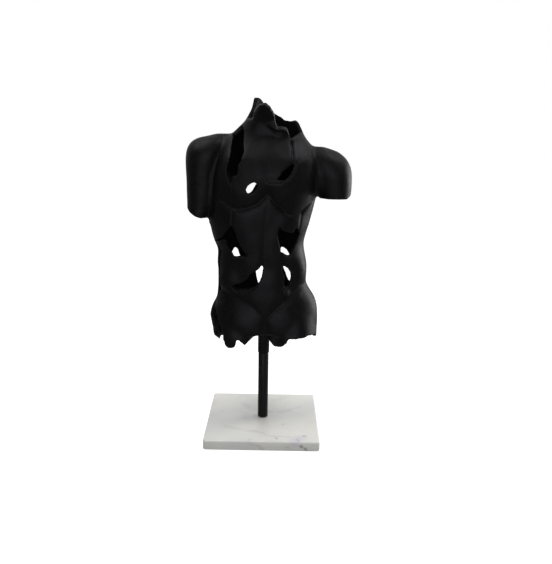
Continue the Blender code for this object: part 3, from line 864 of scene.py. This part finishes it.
# %% Turn the bar
FIT_GAP = 0.3 * MM
BAR_RADIUS = rod_high[0]
BAR_FOOT = plinth_top + FIT_GAP
BAR_SHOULDER = figure_foot - FIT_GAP
SPIGOT_RADIUS = 4.0 * MM
BAR_EASE = 0.5 * MM
PART_EASE = BAR_EASE * 0.3
STEP_RISE = 0.02 * MM
BAR_SIDES = 96
BAR_CREASE = 40

# Radius and height.
BAR_PROFILE = (
    (SPIGOT_RADIUS, rod_low[2]),
    (SPIGOT_RADIUS, BAR_FOOT),
    (BAR_RADIUS - BAR_EASE, BAR_FOOT + STEP_RISE),
    (BAR_RADIUS - PART_EASE, BAR_FOOT + PART_EASE),
    (BAR_RADIUS, BAR_FOOT + BAR_EASE),
    (BAR_RADIUS, BAR_SHOULDER - BAR_EASE),
    (BAR_RADIUS - PART_EASE, BAR_SHOULDER - PART_EASE),
    (BAR_RADIUS - BAR_EASE, BAR_SHOULDER - STEP_RISE),
    (SPIGOT_RADIUS, BAR_SHOULDER),
    (SPIGOT_RADIUS, rod_high[2]),
)


def feed(tree, node, inputs):
    """Gives each named input of a node its plain value, or the socket that feeds it."""
    for name, value in inputs.items():
        if isinstance(value, bpy.types.NodeSocket):
            tree.links.new(value, node.inputs[name])
        else:
            node.inputs[name].default_value = value
    return node


def add_node(tree, kind, inputs, **settings):
    """A new node with its settings and its inputs."""
    node = tree.nodes.new(kind)
    for name, value in settings.items():
        setattr(node, name, value)
    return feed(tree, node, inputs)


def add_step(tree, kind, inputs, **settings):
    """What a new node puts out first."""
    return add_node(tree, kind, inputs, **settings).outputs[0]


lathe = bpy.data.node_groups.new("lathe", "GeometryNodeTree")
lathe.interface.new_socket("Axis", in_out="INPUT", socket_type="NodeSocketGeometry")
sides_socket = lathe.interface.new_socket("Sides", in_out="INPUT", socket_type="NodeSocketInt")
paint_socket = lathe.interface.new_socket("Paint", in_out="INPUT", socket_type="NodeSocketMaterial")
lathe.interface.new_socket("Bar", in_out="OUTPUT", socket_type="NodeSocketGeometry")
given = lathe.nodes.new("NodeGroupInput").outputs
line = add_step(lathe, "GeometryNodeMeshToCurve", {"Mesh": given["Axis"]})
kept = {"Name": "turned_radius"}
reach = add_step(lathe, "GeometryNodeInputNamedAttribute", kept, data_type="FLOAT")
around = {"Resolution": given["Sides"], "Radius": 1.0}
ring = add_step(lathe, "GeometryNodeCurvePrimitiveCircle", around)
sweep = {"Curve": line, "Profile Curve": ring, "Scale": reach, "Fill Caps": True}
swept = add_step(lathe, "GeometryNodeCurveToMesh", sweep)
solid = add_step(lathe, "GeometryNodeRealizeInstances", {"Geometry": swept})
coat = {"Geometry": solid, "Material": given["Paint"]}
add_node(lathe, "NodeGroupOutput", {"Bar": add_step(lathe, "GeometryNodeSetMaterial", coat)})

axis = bmesh.new()
spots = [axis.verts.new((0, 0, height)) for _, height in BAR_PROFILE]
for pair in zip(spots, spots[1:]):
    axis.edges.new(pair)
bar = mesh_object("bar", axis)
radii = bar.data.attributes.new("turned_radius", "FLOAT", "POINT")
radii.data.foreach_set("value", [radius for radius, _ in BAR_PROFILE])
turning = bar.modifiers.new("Turning", "NODES")
turning.node_group = lathe
turning[sides_socket.identifier] = BAR_SIDES
turning[paint_socket.identifier] = bpy.data.materials.new("bar_paint")
bake_modifiers(bar)
smooth(bar, BAR_CREASE)
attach(bar, "root")
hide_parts("rod")
bar_size = [round(side / MM, 1) for side in bar.dimensions]
print("bar in mm:", bar_size, "faces:", len(bar.data.polygons))

# %% [markdown]
# The plinth is a sawn slab with its arrises taken off by hand. It is a box whose upright
# corners are rounded first and whose rims are eased after, with a blind hole for the bar.

# %% Shape the plinth
CORNER_RADIUS = 3.5 * MM
CORNER_SEGMENTS = 8
RIM_EASE = 1.6 * MM
RIM_SEGMENTS = 5
RIM_ANGLE = 50
SLAB_CREASE = 30
slab_size = [high - low for low, high in zip(plinth_low, plinth_high)]

slab = bmesh.new()
to_place = Matrix.Translation((0, 0, slab_size[2] / 2)) @ Matrix.Diagonal((*slab_size, 1))
bmesh.ops.create_cube(slab, size=1, matrix=to_place)
corners = [edge for edge in slab.edges if abs(edge.verts[0].co.z - edge.verts[1].co.z) > MM]
bevel = {"offset": CORNER_RADIUS, "segments": CORNER_SEGMENTS, "profile": 0.5}
bmesh.ops.bevel(slab, geom=corners, affect="EDGES", **bevel)
plinth = mesh_object("marble_plinth", slab)
rims = plinth.modifiers.new("Eased rims", "BEVEL")
rims.width = RIM_EASE
rims.segments = RIM_SEGMENTS
rims.limit_method = "ANGLE"
rims.angle_limit = math.radians(RIM_ANGLE)
bake_modifiers(plinth)
hole = upright("plinth_hole", BORE_RADIUS, rod_low[2] - FIT_GAP, plinth_top + CUT_MARGIN)
combine(plinth, [hole], "DIFFERENCE")
smooth(plinth, SLAB_CREASE)
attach(plinth, "root")
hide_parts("plinth")
print("plinth in mm:", [round(side / MM, 1) for side in slab_size])

# %% [markdown]
# Every finish is a network of shader nodes. A few small helpers keep the scripts for them
# short. Patterns read Object coordinates, which are metres here, so that a grain of one
# millimetre stays one millimetre on every piece.

# %% Helpers for the finishes
def calculate(tree, operation, *values):
    """One step of arithmetic on numbers."""
    return add_step(tree, "ShaderNodeMath", dict(enumerate(values)), operation=operation)


def fade(tree, value, low, high, start=0.0, end=1.0):
    """Runs softly from start to end while the value runs from low to high."""
    inputs = {"Value": value, "From Min": low, "From Max": high, "To Min": start, "To Max": end}
    return add_step(tree, "ShaderNodeMapRange", inputs, interpolation_type="SMOOTHSTEP")


def blend_colours(tree, share, first, second):
    """The first colour where the share is 0, the second where it is 1."""
    inputs = {0: share, 6: first, 7: second}
    return add_node(tree, "ShaderNodeMix", inputs, data_type="RGBA").outputs[2]


def clouds(tree, spot, scale, detail=2.0, rough=0.5):
    """A soft random pattern of numbers round 0.5, with so many features to the metre."""
    inputs = {"Vector": spot, "Scale": scale, "Detail": detail, "Roughness": rough}
    return add_node(tree, "ShaderNodeTexNoise", inputs).outputs["Fac"]


def open_material(name):
    """A material of that name: itself, its node tree, its shader and its Object coordinates."""
    material = bpy.data.materials.get(name) or bpy.data.materials.new(name)
    material.use_nodes = True
    tree = material.node_tree
    spot = tree.nodes.new("ShaderNodeTexCoord").outputs["Object"]
    return material, tree, tree.nodes["Principled BSDF"], spot


def open_group(name, inputs, outputs):
    """A new group of nodes with named sockets: itself, what comes in and what goes out."""
    group = bpy.data.node_groups.new(name, "ShaderNodeTree")
    for label, kind in inputs.items():
        group.interface.new_socket(label, in_out="INPUT", socket_type=kind)
    for label in outputs:
        group.interface.new_socket(label, in_out="OUTPUT", socket_type=NUMBER)
    coming, going = group.nodes.new("NodeGroupInput"), group.nodes.new("NodeGroupOutput")
    return group, coming.outputs, going.inputs


def place_group(tree, group, inputs):
    """The group placed in a tree with its own values, and what it puts out."""
    return add_node(tree, "ShaderNodeGroup", inputs, node_tree=group).outputs


def emboss(tree, shader, height, strength, distance):
    """Lets a pattern of heights turn the shading of the surface, without moving it."""
    inputs = {"Strength": strength, "Distance": distance, "Height": height}
    bump = add_node(tree, "ShaderNodeBump", inputs)
    tree.links.new(bump.outputs["Normal"], shader.inputs["Normal"])


VECTOR = "NodeSocketVector"
NUMBER = "NodeSocketFloat"
print("helpers for the finishes are ready")

# %% [markdown]
# Aluminium cast in sand keeps the grain of the sand: a soft unevenness of some millimetres,
# a grit under one, and here and there a pit. Paint softens it but doesn't hide it. The torso
# and the bar both show it at their own sizes, so it is one group of nodes. It puts out a
# height for the bump and a tone for the mottling of the paint.

# %% Grain of a painted casting
cast_grain, grain_in, grain_out = open_group(
    "cast_grain",
    {"Spot": VECTOR, "Unevenness": NUMBER, "Grit": NUMBER, "Pits": NUMBER},
    ("Height", "Tone"),
)
uneven = clouds(cast_grain, grain_in["Spot"], grain_in["Unevenness"], 3.0)
grit = clouds(cast_grain, grain_in["Spot"], grain_in["Grit"])
scattered = {"Vector": grain_in["Spot"], "Scale": grain_in["Pits"]}
cells = add_node(cast_grain, "ShaderNodeTexVoronoi", scattered)
pit = fade(cast_grain, cells.outputs["Distance"], 0.0, 0.2, 1.0, 0.0)
pit = calculate(cast_grain, "MULTIPLY", pit, fade(cast_grain, uneven, 0.52, 0.62))
height = calculate(cast_grain, "MULTIPLY_ADD", grit, 0.35, uneven)
cast_grain.links.new(calculate(cast_grain, "SUBTRACT", height, pit), grain_out["Height"])
tone = calculate(cast_grain, "MULTIPLY", uneven, 0.6)
cast_grain.links.new(calculate(cast_grain, "MULTIPLY_ADD", grit, 0.4, tone), grain_out["Tone"])
print("cast_grain has", len(cast_grain.nodes), "nodes")

# %% [markdown]
# Paint lies thin on sharp edges, and hands rub it there, so edges are painted a little lighter:
# partly rubbed paint, partly a painted highlight along the edges.
# The mesh knows where it is sharp: for each point it is measured how far the neighbours lie
# below its own level. The same pass marks what lies inside the casting, which is rougher and
# a little darker. Both are kept as attributes of the mesh, so they stay with the surface.

# %% Mark edges and the inside on the casting
EDGE_GAIN = 3
EDGE_PASSES = 2
INSIDE_DEPTH = 3.2 * MM
INSIDE_FADE = 0.8 * MM


def mark_edges(mesh):
    """How sharply the surface stands out at each point, from 0 to about 1."""
    spots, normals = read_points(mesh)
    count = len(spots)
    pairs = np.empty((len(mesh.edges), 2), int)
    mesh.edges.foreach_get("vertices", pairs.ravel())
    both = np.concatenate([pairs, pairs[:, ::-1]])
    away = spots[both[:, 1]] - spots[both[:, 0]]
    away /= np.linalg.norm(away, axis=1)[:, None] + 1e-12
    drop = -(away * normals[both[:, 0]]).sum(1)
    degree = np.maximum(np.bincount(both[:, 0], minlength=count), 1)
    sharp = np.bincount(both[:, 0], drop, count) / degree
    for _ in range(EDGE_PASSES):
        sharp = (sharp + np.bincount(both[:, 0], sharp[both[:, 1]], count) / degree) / 2
    return np.clip(sharp * EDGE_GAIN, 0, 1)


def mark_inside(mesh):
    """1 where a point lies deep under the outer skin, 0 on it."""
    depths = [skin_tree.find_nearest(vertex.co)[3] for vertex in mesh.vertices]
    return np.clip((np.array(depths) - INSIDE_DEPTH) / INSIDE_FADE, 0, 1)


for name, values in (("edge", mark_edges(body.data)), ("inside", mark_inside(body.data))):
    attribute = body.data.attributes.new(name, "FLOAT", "POINT")
    attribute.data.foreach_set("value", values.astype(np.float32))
    print(name, "mean:", round(float(values.mean()), 3))

# %% [markdown]
# The torso is painted a deep satin black. Black paint shows its form by its shine, so the
# roughness matters more than the colour: here it is about a half, mottled by the grain, a
# little lower on rubbed edges and much higher inside. The edges are also painted lighter,
# partly as rubbed paint and partly as a painted highlight. A low index of refraction keeps
# the shine of the paint as weak as it is on the real one.

# %% Black paint on the casting
PAINT_IOR = 1.165
PAINT_SHEEN = (0.92, 0.92, 1.0, 1)
PAINT_DARK, PAINT_LIGHT = (0.0016, 0.0016, 0.0018, 1), (0.0030, 0.0029, 0.0032, 1)
PAINT_WARM = (0.0031, 0.0027, 0.0027, 1)
# Lighter colour for sharp edges: partly rubbed paint, partly a painted highlight.
PAINT_RUBBED_AND_HIGHLIGHT = (0.018, 0.018, 0.019, 1)
# A little darker than the paint outside, for what lies inside the casting.
PAINT_INSIDE = (0.0018, 0.0018, 0.0019, 1)


def read_attribute(tree, name):
    """A value that the mesh carries under that name."""
    return add_node(tree, "ShaderNodeAttribute", {}, attribute_name=name).outputs["Fac"]


def set_shine(shader):
    """The shine of the black paint, the same all over."""
    shader.inputs["IOR"].default_value = PAINT_IOR
    shader.inputs["Specular Tint"].default_value = PAINT_SHEEN


torso_paint, tree, shader, spot = open_material("torso_paint")
grain_sizes = {"Unevenness": 260.0, "Grit": 1500.0, "Pits": 420.0}
grain = place_group(tree, cast_grain, {"Spot": spot, **grain_sizes})
cloudy = clouds(tree, spot, 28.0, 3.0)
inside = read_attribute(tree, "inside")
patchy = calculate(tree, "ADD", cloudy, 0.5)
# Where the sharp edges are painted lighter, as rubbed paint and as a painted highlight.
rubbed_and_highlit = fade(tree, calculate(tree, "MULTIPLY", read_attribute(tree, "edge"), patchy), 0.25, 0.8)
colour = blend_colours(tree, fade(tree, grain["Tone"], 0.35, 0.65), PAINT_DARK, PAINT_LIGHT)
colour = blend_colours(tree, fade(tree, cloudy, 0.4, 0.7, 0.0, 0.5), colour, PAINT_WARM)
# Sharp edges painted lighter: partly rubbed paint, partly a painted highlight.
colour = blend_colours(tree, calculate(tree, "MULTIPLY", rubbed_and_highlit, 0.55), colour, PAINT_RUBBED_AND_HIGHLIGHT)
colour = blend_colours(tree, calculate(tree, "MULTIPLY", inside, 0.8), colour, PAINT_INSIDE)
tree.links.new(colour, shader.inputs["Base Color"])
set_shine(shader)
mottled = calculate(tree, "ADD", grain["Tone"], calculate(tree, "MULTIPLY", cloudy, 0.5))
rough = fade(tree, mottled, 0.5, 1.0, 0.42, 0.56)
rough = calculate(tree, "MULTIPLY_ADD", rubbed_and_highlit, -0.05, rough)
rough = calculate(tree, "MULTIPLY_ADD", inside, 0.3, rough)
tree.links.new(rough, shader.inputs["Roughness"])
emboss(tree, shader, grain["Height"], 0.5, 0.25 * MM)
body.data.materials.clear()
body.data.materials.append(torso_paint)
print("torso_paint has", len(tree.nodes), "nodes")

# %% [markdown]
# The bar wears the same paint over drawn stock, so its grain is finer and stretched along
# its length. A Mapping node does the stretching.

# %% Black paint on the bar
BAR_DARK, BAR_LIGHT = (0.0035, 0.0034, 0.0037, 1), (0.008, 0.0077, 0.008, 1)
DRAWN_STRETCH = (1.0, 1.0, 0.12)

bar_paint, tree, shader, spot = open_material("bar_paint")
drawn = add_step(tree, "ShaderNodeMapping", {"Vector": spot, "Scale": DRAWN_STRETCH})
grain_sizes = {"Unevenness": 420.0, "Grit": 2400.0, "Pits": 600.0}
grain = place_group(tree, cast_grain, {"Spot": drawn, **grain_sizes})
cloudy = clouds(tree, spot, 60.0, 3.0)
colour = blend_colours(tree, fade(tree, grain["Tone"], 0.35, 0.65), BAR_DARK, BAR_LIGHT)
tree.links.new(colour, shader.inputs["Base Color"])
set_shine(shader)
tree.links.new(fade(tree, cloudy, 0.3, 0.7, 0.36, 0.5), shader.inputs["Roughness"])
emboss(tree, shader, grain["Height"], 0.4, 0.12 * MM)
print("bar_paint has", len(tree.nodes), "nodes")

# %% [markdown]
# White marble is never plain white. This slab has a soft grey cast, a few vague grey veins
# that cross its top, one dark vein that breaks over the front, and a violet stain beside it.
# A vein is a line from one point to another whose distance is measured in the stone, so it
# carries on from the top down the side, as in real stone. Noise bends all of them at once. A
# stain is a vein with no length.

# %% Veins in the marble
vein_inputs = {"Spot": VECTOR, "From": VECTOR, "To": VECTOR, "Width": NUMBER, "Strength": NUMBER}
vein, vein_in, vein_out = open_group("vein", vein_inputs, ("Mask",))


def vectors(tree, operation, inputs, result="Vector"):
    """One step of arithmetic on vectors. Its result is a Vector or a Value."""
    return add_node(tree, "ShaderNodeVectorMath", inputs, operation=operation).outputs[result]


along = vectors(vein, "SUBTRACT", {0: vein_in["To"], 1: vein_in["From"]})
out = vectors(vein, "SUBTRACT", {0: vein_in["Spot"], 1: vein_in["From"]})
length = vectors(vein, "DOT_PRODUCT", {0: along, 1: along}, "Value")
share = vectors(vein, "DOT_PRODUCT", {0: out, 1: along}, "Value")
share = calculate(vein, "DIVIDE", share, calculate(vein, "MAXIMUM", length, 1e-9))
share = add_step(vein, "ShaderNodeClamp", {"Value": share})
nearest = vectors(vein, "SCALE", {0: along, "Scale": share})
aside = vectors(vein, "SUBTRACT", {0: out, 1: nearest})
gap = vectors(vein, "LENGTH", {0: aside}, "Value")
close = fade(vein, calculate(vein, "DIVIDE", gap, vein_in["Width"]), 0.0, 1.0, 1.0, 0.0)
vein.links.new(calculate(vein, "MULTIPLY", close, vein_in["Strength"]), vein_out["Mask"])
print("vein has", len(vein.nodes), "nodes")

# %% [markdown]
# The stone itself is a pale grey that drifts between three close shades, and the veins and
# the stain are laid over it one after another. A picture of marble could be wrapped round
# the slab, but it would break at the edges. A pattern that is worked out inside the block
# runs from the top over the edge and down the side, as it does in cut stone. The surface is
# honed, so it shines only a little.

# %% Marble of the plinth
STONE_COOL, STONE_WARM = (0.41, 0.412, 0.4, 1), (0.455, 0.448, 0.42, 1)
STONE_CLOUD = (0.37, 0.375, 0.365, 1)
CRYSTAL = (0.66, 0.66, 0.65, 1)
VEIN_GREY = (0.27, 0.28, 0.28, 1)
VEIN_DARK = (0.07, 0.06, 0.058, 1)
STAIN_VIOLET = (0.34, 0.31, 0.40, 1)
VEIN_BEND = 14 * MM

# From and to in mm across, deep and up, then the width in mm and the strength.
GREY_VEINS = (
    ((10, 13, 13), (38, 18, 13), 7, 0.55),
    ((38, 18, 13), (58, 38, 11), 5, 0.4),
    ((-28, 38, 11), (-14, 20, 13), 11, 0.35),
    ((-14, 20, 13), (-2, 8, 13), 7, 0.3),
    ((-26, 8, 13), (-24, -8, 12), 9, 0.25),
    ((-52, -32, 13), (-22, -43, 12), 5, 0.35),
    ((-22, -43, 12), (2, -52, 13), 5, 0.5),
    ((2, -52, 13), (16, -61, 13), 4, 0.5),
    ((16, -61, 13), (36, -61, 13), 4, 0.6),
    ((-16, -71, 13), (4, -75, 3), 4, 0.5),
    ((20, 66, 13), (46, 62, 13), 6, 0.25),
    ((14, 50, 13), (26, 56, 13), 8, 0.25),
    ((-48, 52, 13), (-60, 40, 13), 6, 0.15),
)
DARK_VEINS = (
    ((48, -71, 11), (53, -75, 6), 2.4, 0.75),
    ((53, -75, 6), (56.5, -75, 0), 2.8, 1.0),
    ((20, -67, 13), (21, -68, 13), 3.5, 0.5),
    ((57, -57, 13), (58, -57, 13), 3.8, 0.5),
    ((70, -61, 13), (71, -60, 13), 3.2, 0.4),
    ((31, -75, 7), (34, -75, 6), 3.0, 0.4),
    ((-58, 12, 13), (-58, 13, 13), 4.0, 0.3),
    ((28, -27, 13), (29, -27, 13), 3.5, 0.25),
    ((45, -68, 13), (47, -69, 13), 4.0, 0.3),
)
VIOLET_STAINS = (
    ((43, -68, 11), (50, -64, 11), 12, 0.7),
)


def veins_together(tree, spot, veins):
    """The strongest of several veins at each spot."""
    total = 0.0
    for start, end, width, strength in veins:
        ends = {"From": Vector(start) * MM, "To": Vector(end) * MM}
        inputs = {"Spot": spot, **ends, "Width": width * MM, "Strength": strength}
        mask = place_group(tree, vein, inputs)["Mask"]
        total = calculate(tree, "MAXIMUM", mask, total)
    return total


marble, tree, shader, spot = open_material("marble")
ripples = {"Vector": spot, "Scale": 55.0, "Detail": 3.0}
bend = add_node(tree, "ShaderNodeTexNoise", ripples).outputs["Color"]
bend = vectors(tree, "SUBTRACT", {0: bend, 1: (0.5, 0.5, 0.5)})
bend = vectors(tree, "SCALE", {0: bend, "Scale": VEIN_BEND})
bent = vectors(tree, "ADD", {0: spot, 1: bend})
broken = fade(tree, clouds(tree, spot, 90.0, 3.0), 0.32, 0.58, 0.25, 1.0)
warmth = fade(tree, clouds(tree, spot, 11.0), 0.4, 0.62)
stone = blend_colours(tree, warmth, STONE_COOL, STONE_WARM)
cloudy = fade(tree, clouds(tree, bent, 38.0, 4.0), 0.45, 0.75, 0.0, 0.35)
stone = blend_colours(tree, cloudy, stone, STONE_CLOUD)
crystals = add_node(tree, "ShaderNodeTexVoronoi", {"Vector": spot, "Scale": 900.0})
crystals = add_step(tree, "ShaderNodeSeparateColor", {"Color": crystals.outputs["Color"]})
stone = blend_colours(tree, fade(tree, crystals, 0.0, 1.0, 0.0, 0.06), stone, CRYSTAL)
grey = calculate(tree, "MULTIPLY", veins_together(tree, bent, GREY_VEINS), broken)
stone = blend_colours(tree, grey, stone, VEIN_GREY)
stone = blend_colours(tree, veins_together(tree, bent, VIOLET_STAINS), stone, STAIN_VIOLET)
dark = veins_together(tree, bent, DARK_VEINS)
stone = blend_colours(tree, dark, stone, VEIN_DARK)
tree.links.new(stone, shader.inputs["Base Color"])
polish = fade(tree, clouds(tree, spot, 40.0, 3.0), 0.35, 0.65, 0.34, 0.42)
tree.links.new(calculate(tree, "MULTIPLY_ADD", dark, 0.2, polish), shader.inputs["Roughness"])
emboss(tree, shader, clouds(tree, bent, 300.0, 4.0), 0.06, 0.1 * MM)
plinth.data.materials.clear()
plinth.data.materials.append(marble)
print("marble has", len(tree.nodes), "nodes")

# %% [markdown]
# The photograph was taken on white, in light so soft that it casts no shadow to speak of.
# Black paint shows only what it mirrors, so the room is bright behind the figure and dark on
# the camera's side. That draws the pale rim round the arms and hips. Two soft boxes above
# give the shoulders their sheen, a wide one in front fills in, and one low on the right
# lights the hip. The camera itself sees plain white, also where it looks at the floor, whose
# own glow lights nothing else.

# %% Set the studio
FLOOR_RADIUS = 9
FLOOR_SIDES = 96
FLOOR_GLOW = 0.88
FLOOR_GREY = (0.28, 0.28, 0.28, 1)
WHITE = (1, 1, 1, 1)
LAMP_AIM = Vector((0, 0, 0.25))

disc = bmesh.new()
bmesh.ops.create_circle(disc, cap_ends=True, segments=FLOOR_SIDES, radius=FLOOR_RADIUS)
floor = mesh_object("floor", disc)
paper = bpy.data.materials.new("pale_floor")
paper.use_nodes = True
cover = paper.node_tree.nodes["Principled BSDF"]
cover.inputs["Base Color"].default_value = FLOOR_GREY
cover.inputs["Roughness"].default_value = 0.9
cover.inputs["Specular IOR Level"].default_value = 0.0
cover.inputs["Emission Color"].default_value = WHITE
seen_by_camera = paper.node_tree.nodes.new("ShaderNodeLightPath").outputs["Is Camera Ray"]
seen_glow = calculate(paper.node_tree, "MULTIPLY", seen_by_camera, FLOOR_GLOW)
paper.node_tree.links.new(seen_glow, cover.inputs["Emission Strength"])
floor.data.materials.append(paper)

world = bpy.data.worlds.new("studio")
scene.world = world
world.use_nodes = True
sky = world.node_tree
sky.nodes.clear()
way = sky.nodes.new("ShaderNodeTexCoord").outputs["Generated"]
way = add_node(sky, "ShaderNodeSeparateXYZ", {"Vector": way}).outputs
glow = fade(sky, way["Y"], -0.2, 0.8, 0.05, 1.1)
glow = calculate(sky, "MAXIMUM", glow, fade(sky, way["Z"], 0.45, 0.95, 0.0, 0.3))
room = add_step(sky, "ShaderNodeBackground", {"Color": WHITE, "Strength": glow})
plain = add_step(sky, "ShaderNodeBackground", {"Color": WHITE, "Strength": 1.0})
direct = sky.nodes.new("ShaderNodeLightPath").outputs["Is Camera Ray"]
seen = add_step(sky, "ShaderNodeMixShader", {0: direct, 1: room, 2: plain})
add_node(sky, "ShaderNodeOutputWorld", {"Surface": seen})


def softbox(name, spot, size, power):
    """A square soft light that points at the middle of the figure."""
    data = bpy.data.lights.new(name, "AREA")
    data.size = size
    data.energy = power
    lamp = bpy.data.objects.new(name, data)
    lamp.location = spot
    lamp.rotation_euler = (LAMP_AIM - Vector(spot)).to_track_quat("-Z", "Y").to_euler()
    scene.collection.objects.link(lamp)


softbox("left_top_light", (-0.5, -0.05, 1.3), 0.6, 10)
softbox("right_top_light", (0.6, 0.0, 1.2), 0.6, 9)
softbox("front_light", (0.0, -2.2, 0.4), 1.5, 42)
softbox("right_light", (1.1, 0.55, 0.35), 0.7, 16)
scene.view_settings.view_transform = "Standard"
